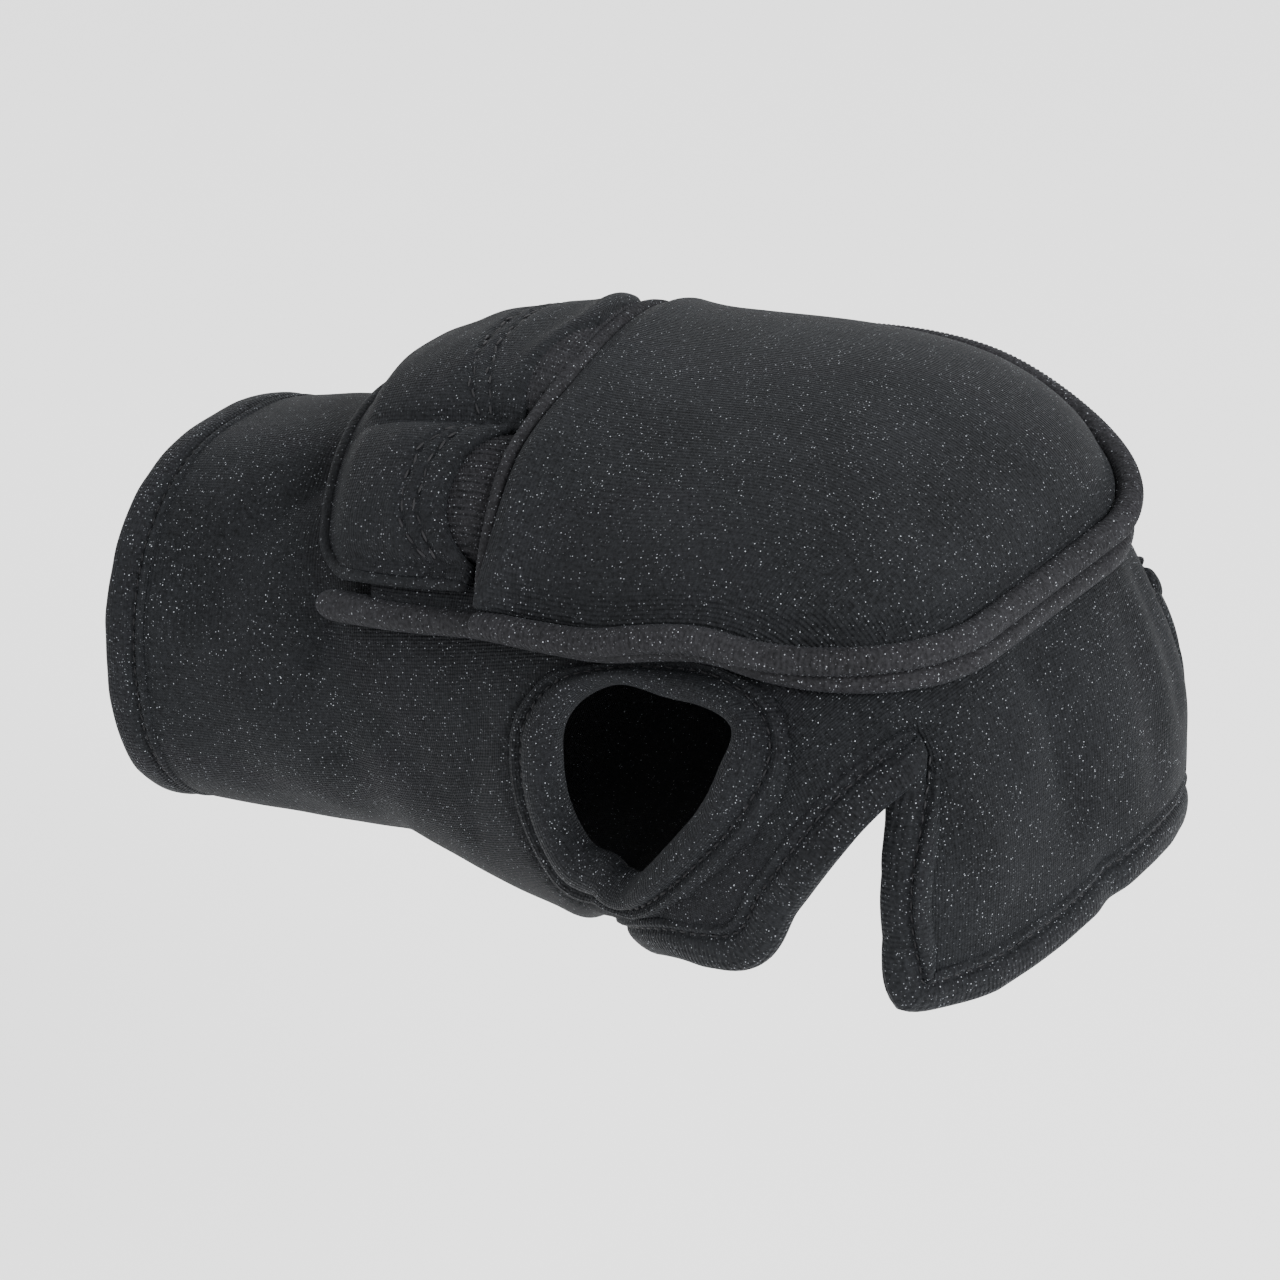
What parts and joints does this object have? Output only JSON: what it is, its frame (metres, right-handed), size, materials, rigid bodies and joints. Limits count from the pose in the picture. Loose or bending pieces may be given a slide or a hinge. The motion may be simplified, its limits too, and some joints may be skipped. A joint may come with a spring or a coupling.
{
  "type": "weighted glove",
  "caption": "Fingerless neoprene training glove for a left hand, shaped as on a closed fist, with a weight pad on the back and a lobed pocket flap at the wrist.",
  "frame": {"origin": "centre of the wrist mouth, where the hand goes in", "axes": "+X along the forearm's line towards the knuckles, +Y towards the little finger's side, +Z towards the back of the hand"},
  "size_m": [0.1524, 0.0925, 0.088],
  "materials": {
    "neoprene": "black knit-faced neoprene, matte with a faint cool sheen and fine bright specks",
    "pad_cloth": "the same knit-faced neoprene, stretched smooth over the weight pad",
    "ribbed_binding": "black ribbed knit, ribs across the binding"
  },
  "bodies": {
    "root": {"glove_shell": "neoprene", "wrist_hem": "neoprene", "finger_opening_hem": "neoprene", "thumb_ring": "neoprene", "pad_base": "neoprene", "base_roll": "ribbed_binding", "weight_pad": "pad_cloth", "pad_piping": "ribbed_binding", "pad_ridge": "ribbed_binding", "pad_band_near": "ribbed_binding", "pad_band_far": "ribbed_binding", "pocket_flap": "neoprene", "flap_edge": "neoprene"}
  },
  "joints": []
}
